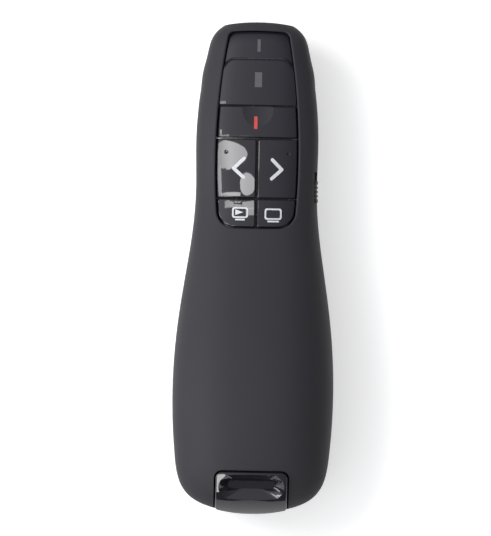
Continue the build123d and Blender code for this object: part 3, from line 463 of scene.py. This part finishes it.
def dimple(finish, centre):
    """Sinks a small round hollow into a finish, under the same polish."""
    away = distance(finish, centre, place=stretched(finish, 1, 1, 0))
    hollow = ramp(finish, away, 0.0, PIP_RADIUS, "SMOOTHSTEP")
    polish = Signal(finish, finish.shader.inputs["Normal"].links[0].from_socket)
    inputs = {"Height": hollow, "Distance": PIP_DEPTH, "Strength": 1.0, "Normal": polish}
    finish.paint({"Normal": finish.node("Bump", {}, inputs)})


for name in PRESSED:
    key_gloss = gloss_black(f"{name}_gloss")
    if name in PIPS:
        dimple(key_gloss, PIPS[name])
    dress(key_gloss, f"{name}_key")

ARC_STEPS = 7


def arc(centre, radius, start, end):
    """Points along an arc between two angles in degrees, both ends included."""
    angles = [math.radians(start + (end - start) * k / ARC_STEPS) for k in range(ARC_STEPS + 1)]
    return [(centre[0] + radius * math.cos(a), centre[1] + radius * math.sin(a)) for a in angles]


def rounded_box(x, y, corner):
    """The outline of a rounded rectangle, from its two ranges."""
    right, left = x[1] - corner, x[0] + corner
    top, low = y[1] - corner, y[0] + corner
    return (
        arc((right, top), corner, 0, 90)
        + arc((left, top), corner, 90, 180)
        + arc((left, low), corner, 180, 270)
        + arc((right, low), corner, 270, 360)
    )


def pen_line(points, width):
    """The outline of strokes drawn with a round pen: along one side and back along the other."""
    half = width / 2
    outline = []
    for run in (points, points[::-1]):
        strokes = zip(run, run[1:])
        headings = [math.degrees(math.atan2(b[1] - a[1], b[0] - a[0])) for a, b in strokes]
        for (x, y), before, after in zip(run[1:], headings, headings[1:]):
            turn = (after - before + 180) % 360 - 180
            if turn < 0:
                outline += arc((x, y), half, before + 90, before + 90 + turn)
            else:
                reach = half / math.cos(math.radians(turn / 2))
                side = math.radians(before + turn / 2 + 90)
                outline.append((x + reach * math.cos(side), y + reach * math.sin(side)))
        outline += arc(run[-1], half, headings[-1] + 90, headings[-1] - 90)
    return outline


INK_THICKNESS = 0.05 * MM
INK_PROUD = 0.02 * MM
INK_CUT = 0.4 * MM  # the ink is cut at least this fine, so that it bends with its key
SAME_POINT = 0.0001 * MM
ABOVE_ALL = 1.0  # metres up, where the rays that find a key's top start


def ink(name, low, high):
    """Pad-printed ink: thin and slightly uneven, and duller than the key under it."""
    finish = Finish(name)
    coverage = finish.noise(900.0, detail=4.0)
    finish.paint(
        {
            "Base Color": finish.shade(coverage, low, high),
            "Roughness": 0.34 + 0.16 * coverage,
            "Normal": finish.relief(coverage, depth=0.000008, strength=0.5),
        }
    )
    return finish


def filled(name, loops):
    """A flat sheet of ink inside outlines in millimetres, where an inner outline is a hole."""
    curve = bpy.data.curves.new(name, "CURVE")
    curve.dimensions = "2D"
    curve.fill_mode = "BOTH"
    curve.extrude = INK_THICKNESS / 2
    for loop in loops:
        spline = curve.splines.new("POLY")
        spline.points.add(len(loop) - 1)
        for point, (x, y) in zip(spline.points, loop):
            point.co = (x * MM, y * MM, 0, 1)
        spline.use_cyclic_u = True
    flat = bpy.data.objects.new(name, curve)
    mesh = bpy.data.meshes.new_from_object(flat)
    bpy.data.objects.remove(flat)
    return mesh


def printed(name, key, loops, finish):
    """Ink on a key: the outlines are filled, cut fine and laid over the key's top."""
    mesh = filled(name, loops)
    shape = bmesh.new()
    shape.from_mesh(mesh)
    bmesh.ops.remove_doubles(shape, verts=shape.verts[:], dist=SAME_POINT)
    for axis in (0, 1):
        places = [vertex.co[axis] for vertex in shape.verts]
        first, last = math.ceil(min(places) / INK_CUT), math.floor(max(places) / INK_CUT)
        normal = [0, 0, 0]
        normal[axis] = 1
        for step in range(first, last + 1):
            cut = [0, 0, 0]
            cut[axis] = step * INK_CUT
            everything = shape.verts[:] + shape.edges[:] + shape.faces[:]
            bmesh.ops.bisect_plane(shape, geom=everything, plane_co=cut, plane_no=normal)
    key_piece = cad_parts[f"{key}_key"]
    top = BVHTree.FromObject(key_piece, bpy.context.evaluated_depsgraph_get())
    down = Vector((0, 0, -1))
    for vertex in shape.verts:
        hit = top.ray_cast(Vector((vertex.co.x, vertex.co.y, ABOVE_ALL)), down)[0]
        vertex.co.z += hit.z + INK_PROUD - INK_THICKNESS / 2
    shape.to_mesh(mesh)
    shape.free()
    piece = bpy.data.objects.new(name, mesh)
    bpy.context.scene.collection.objects.link(piece)
    mesh.materials.append(finish.material)
    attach(piece, f"{key}_button")


# The marks, in millimetres.
CHEVRON_PEN = 0.80
BACK_STROKES = ((-3.05, 25.8), (-5.45, 23.4), (-3.15, 21.35))
FORWARD_STROKES = ((3.6, 25.55), (5.85, 23.25), (3.5, 21.1))
LASER_BAR = rounded_box((-0.84, -0.06), (32.75, 35.7), corner=0.12)
PLAY_MARK = [(-4.9, 12.45), (-3.0, 13.1), (-4.9, 13.75)]
SCREEN_PEN = 0.38
SCREEN_CORNER = 0.55


def screen(x, y, foot):
    """A small screen: its frame, the glass left open, and the foot line under it."""
    inner_x = (x[0] + SCREEN_PEN, x[1] - SCREEN_PEN)
    inner_y = (y[0] + SCREEN_PEN, y[1] - SCREEN_PEN)
    foot_start, foot_end, foot_y = foot
    return [
        rounded_box(x, y, SCREEN_CORNER),
        rounded_box(inner_x, inner_y, SCREEN_CORNER - SCREEN_PEN / 2),
        pen_line(((foot_start, foot_y), (foot_end, foot_y)), SCREEN_PEN),
    ]


slideshow_mark = screen((-5.65, -1.9), (11.75, 14.3), foot=(-4.75, -2.8, 11.38)) + [PLAY_MARK]
blank_mark = screen((2.0, 6.0), (11.45, 14.1), foot=(2.85, 5.2, 11.05))
white_ink = ink("white_ink", low=(0.58, 0.595, 0.64, 1), high=(0.68, 0.695, 0.74, 1))
red_ink = ink("red_ink", low=(0.50, 0.050, 0.040, 1), high=(0.66, 0.085, 0.065, 1))
printed("back_chevron", "back", [pen_line(BACK_STROKES, CHEVRON_PEN)], white_ink)
printed("forward_chevron", "forward", [pen_line(FORWARD_STROKES, CHEVRON_PEN)], white_ink)
printed("laser_bar", "laser", [LASER_BAR], red_ink)
printed("slideshow_screen", "slideshow", slideshow_mark, white_ink)
printed("blank_screen", "blank", blank_mark, white_ink)

# ---------------------------------------------------------------- cells
# Two AAA cells, nose to tail. The steel can is wrapped in a plain printed sleeve that folds over
# its ends and leaves a steel disc and the positive nub bare.

BARE_SHARE = 0.74  # the square of the bare disc's radius, over that of the cell's
BAND_LENGTH = 0.0115


def along(finish, axis):
    """One coordinate of the surface: X, Y or Z, in metres."""
    return finish.node("SeparateXYZ", {}, {0: finish.place}, output=axis)


def cell_sleeve(name, node, nub_way):
    """A sleeve with a copper-coloured band at the positive end, and steel where it stops."""
    low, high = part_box(node)
    middle = (low + high) / 2
    radius = (high.x - low.x) / 2
    finish = Finish(name, Coat_Roughness=0.1)
    across = (along(finish, "X") - middle.x) / radius
    up = (along(finish, "Z") - middle.z) / radius
    bare = across * across + up * up < BARE_SHARE
    band_start = (high.y if nub_way > 0 else low.y) - nub_way * BAND_LENGTH
    banded = nub_way * (along(finish, "Y") - band_start) > 0.0
    scuff = finish.noise(600.0, detail=5.0)
    sleeve = finish.shade(banded, (0.030, 0.042, 0.060, 1), (0.55, 0.27, 0.10, 1))
    can_steel = (0.60, 0.59, 0.57, 1)
    finish.paint(
        {
            "Base Color": finish.shade(bare, sleeve, can_steel),
            "Metallic": bare * 0.6 + banded * 0.4,
            "Roughness": 0.26 + 0.16 * scuff,
            "Coat Weight": 0.6 - 0.6 * bare,
            "Normal": finish.relief(scuff, depth=0.000015, strength=0.4),
        }
    )
    return finish


dress(cell_sleeve("left_sleeve", "left_cell", 1), "left_cell")
dress(cell_sleeve("right_sleeve", "right_cell", -1), "right_cell")

# ---------------------------------------------------------------- battery door
# The rear half of the underside slides off towards the tail. It is painted like the shells, with
# six moulded grooves for the thumb at its front edge.

dress(shell_finish, "battery_door")

# ---------------------------------------------------------------- screws
# Cross-headed self-tapping screws, zinc-plated: four close the housing from below and four hold the
# board to its posts.

zinc = plated(
    "zinc",
    low=(0.30, 0.30, 0.31, 1),
    high=(0.44, 0.44, 0.45, 1),
    roughness=0.28,
    grain=(900.0, 900.0, 3000.0),
)
dress(zinc, "case_screws", "board_screws")

# ---------------------------------------------------------------- receiver
# A stubby radio receiver parks in the tail with its plug inwards. The cap is gloss black with a
# scoop for a fingertip, the case behind it is plain plastic, and the plug is a folded steel shell
# round a white tongue with four gold contacts.

white_plastic = moulded(
    "white_plastic",
    low=(0.72, 0.72, 0.70, 1),
    high=(0.80, 0.80, 0.78, 1),
    roughness=0.36,
)
plug_steel = plated(
    "plug_steel",
    low=(0.55, 0.55, 0.56, 1),
    high=(0.66, 0.66, 0.67, 1),
    roughness=0.24,
    grain=(1500.0, 60.0, 1500.0),
)
gold = plated(
    "gold",
    low=(0.78, 0.55, 0.20, 1),
    high=(0.90, 0.68, 0.30, 1),
    roughness=0.14,
    grain=(3000.0, 300.0, 300.0),
)
dress(gloss, "receiver_cap")
dress(black_plastic, "receiver_case")
dress(plug_steel, "usb_shell")
dress(white_plastic, "usb_tongue")
dress(gold, "usb_contacts")
dress(board_finish_and_gap_shade, "receiver_board")
dress(epoxy("receiver_chip"), "receiver_chip")

# ---------------------------------------------------------------- floor
# A wide white sheet under the clicker. It looks white to the camera and in reflections, and still
# takes the clicker's soft shadow.

FLOOR_SIZE = 6.0
FLOOR_DROP = 0.0001  # keeps the sheet and the door's flat from sharing a plane
NO_GLOW = (0.0, 0.0, 0.0, 1)
PAPER_GLOW = (0.50, 0.50, 0.50, 1)


def paper():
    """White paper above and nothing below, so that the underside can be looked at too."""
    finish = Finish("paper", Roughness=0.9, Specular_IOR_Level=0.1, Emission_Strength=1.0)
    to_eye = finish.node("LightPath", output="Is Camera Ray")
    to_gloss = finish.node("LightPath", output="Is Glossy Ray")
    to_glass = finish.node("LightPath", output="Is Transmission Ray")
    seen = to_eye | to_gloss | to_glass
    tooth = finish.noise(900.0, detail=3.0)
    finish.paint(
        {
            "Base Color": finish.shade(tooth, (0.78, 0.78, 0.78, 1), (0.82, 0.82, 0.82, 1)),
            "Emission Color": finish.shade(seen, NO_GLOW, PAPER_GLOW),
        }
    )
    below = finish.node("NewGeometry", output="Backfacing")
    open_air = finish.node("BsdfTransparent")
    sheet = Signal(finish, finish.shader.outputs["BSDF"])
    either = finish.node("MixShader", {}, {0: below, 1: sheet, 2: open_air})
    finish.feed(finish.tree.nodes["Material Output"].inputs["Surface"], either)
    return finish


edge = FLOOR_SIZE / 2
sheet_plan = ((-edge, -edge), (edge, -edge), (edge, edge), (-edge, edge))
floor_mesh = bpy.data.meshes.new("floor")
floor_mesh.from_pydata([(x, y, -FLOOR_DROP) for x, y in sheet_plan], [], [(0, 1, 2, 3)])
floor_mesh.materials.append(paper().material)
floor = bpy.data.objects.new("floor", floor_mesh)
bpy.context.scene.collection.objects.link(floor)

# ---------------------------------------------------------------- light
# A broad soft box lights the clicker from the left, in a room that is bright overhead, dimmer to
# the right and dark near the horizon. Three more boxes, and small cards close over the keys, light
# nothing matt: they show only as gleams in the gloss.

RIGHT_GLOW = 0.28
LEFT_GAIN = 2.0
HORIZON_GLOW = 0.12
FULL_SIDE = 0.9  # how far left or right a direction points where the side's glow is full
HORIZON_TOP, CEILING_EDGE = 0.25, 0.80  # how far up it points, where 1 is straight overhead

world = bpy.data.worlds.new("room")
bpy.context.scene.world = world
world.use_nodes = True


class Room(Finish):
    """The surround, worked out in the world's own node tree."""

    def __init__(self, world):
        self.tree = world.node_tree
        self.shader = self.tree.nodes["Background"]
        self.place = self.node("TexCoord", output="Generated")


room = Room(world)
to_left = ramp(room, along(room, "X"), FULL_SIDE, -FULL_SIDE)
overhead = ramp(room, along(room, "Z"), HORIZON_TOP, CEILING_EDGE)
walls = RIGHT_GLOW + LEFT_GAIN * to_left**2
lit = HORIZON_GLOW + (walls - HORIZON_GLOW) * overhead
to_eye = room.node("LightPath", output="Is Camera Ray")
room.paint({"Color": (0.97, 0.98, 1.0, 1.0), "Strength": lit + (1.0 - lit) * to_eye})


def soft_box(name, place, aim, size, glow, shape="RECTANGLE"):
    """A lamp of even brightness, where glow 1 is as bright as white paper in the scene."""
    lamp = bpy.data.lights.new(name, "AREA")
    lamp.shape = shape
    lamp.size, lamp.size_y = size
    round_share = math.pi / 4 if shape == "ELLIPSE" else 1
    lamp.energy = glow * math.pi * size[0] * size[1] * round_share
    box = bpy.data.objects.new(name, lamp)
    box.location = place
    bpy.context.scene.collection.objects.link(box)
    if aim:
        box.rotation_euler = (Vector(aim) - Vector(place)).to_track_quat("-Z", "Y").to_euler()
    return box


MIDDLE = (0, 0, 0.01)
left_box = soft_box("left_box", (-0.66, 0.33, 0.70), MIDDLE, (0.5, 0.5), glow=8.0)
left_box.visible_glossy = False

CARD_SPREAD = math.radians(40)  # grids let no light out further than this off a card's axis
GRID_GAIN = 1 - CARD_SPREAD / math.tan(CARD_SPREAD)
CARDS = {  # shape, glow, centre in millimetres, turns in degrees, and size in millimetres
    "back_high": ("ELLIPSE", 10.0, (-16.83, 29.37, 43.26), (-7.8, -15.1, 2.9), (26.6, 6.6)),
    "back_left": ("RECTANGLE", 11.5, (-24.48, 23.92, 41.98), (-7.8, -15.1, 0.0), (3.51, 4.90)),
    "back_low": ("RECTANGLE", 11.0, (-15.23, 22.23, 44.70), (-7.8, -15.1, 2.9), (16.33, 0.78)),
    "back_leaf": ("ELLIPSE", 11.5, (-4.35, 24.48, 47.32), (-7.8, -15.1, 3.5), (6.35, 3.75)),
    "slide_top": ("RECTANGLE", 8.0, (-9.98, 20.64, 44.58), (-13.9, -10.9, 2.6), (17.47, 1.20)),
    "slide_right": ("RECTANGLE", 8.0, (-3.00, 19.75, 46.15), (-13.9, -10.9, 3.5), (3.31, 1.40)),
    "laser_foot": ("RECTANGLE", 9.0, (-19.42, 34.19, 45.18), (-6.7, -25.8, 2.0), (10.25, 0.50)),
    "laser_left": ("RECTANGLE", 8.0, (-23.15, 35.03, 43.26), (-6.7, -25.8, 0.8), (2.06, 1.41)),
    "panel_corner": ("RECTANGLE", 4.5, (-23.24, 42.80, 44.73), (-8.2, -30.3, -0.5), (7.79, 0.89)),
}
for name, (shape, glow, place, turns, size) in CARDS.items():
    place = [value * MM for value in place]
    size = [value * MM for value in size]
    card = soft_box(name, place, None, size, glow * GRID_GAIN, shape)
    card.rotation_mode = "ZXY"
    card.rotation_euler = [math.radians(turn) for turn in turns]
    card.data.spread = 2 * CARD_SPREAD
    card.visible_diffuse = False
    card.visible_camera = False

GLEAM_BOXES = {  # place, what it points at, and size, all in metres, and glow
    "window": ((-0.60, -0.35, 0.50), MIDDLE, (0.30, 0.45), 9.0),
    "tail_box": ((-0.31, -0.776, 0.456), (-0.009, -0.0525, 0.0125), (0.22, 0.42), 10.0),
    "side_box": ((-0.86, -0.02, 0.29), (0.010, -0.053, 0.012), (0.24, 0.30), 7.0),
}
for name, (place, aim, size, glow) in GLEAM_BOXES.items():
    gleam_box = soft_box(name, place, aim, size, glow)
    gleam_box.visible_diffuse = False

# ---------------------------------------------------------------- camera
# Straight above the clicker with a long lens, turned by a degree. The lens follows from how many
# metres one pixel covers at the joint between the shells.

IMAGE_HEIGHT = 536
PIXEL = 0.0002362
JOINT_HEIGHT = 0.0136
DISTANCE = 1.6
AIM = (-0.00226, 0.00002)
ROLL = math.radians(1.026)
SENSOR = 24.0

view = bpy.data.cameras.new("camera")
view.sensor_fit = "VERTICAL"
view.sensor_height = SENSOR
view.lens = SENSOR * DISTANCE / (IMAGE_HEIGHT * PIXEL)
view.clip_end = 10.0
camera = bpy.data.objects.new("camera", view)
camera.location = (*AIM, JOINT_HEIGHT + DISTANCE)
camera.rotation_euler = (0, 0, ROLL)
bpy.context.scene.collection.objects.link(camera)
bpy.context.scene.camera = camera
bpy.context.scene.view_settings.view_transform = "Standard"
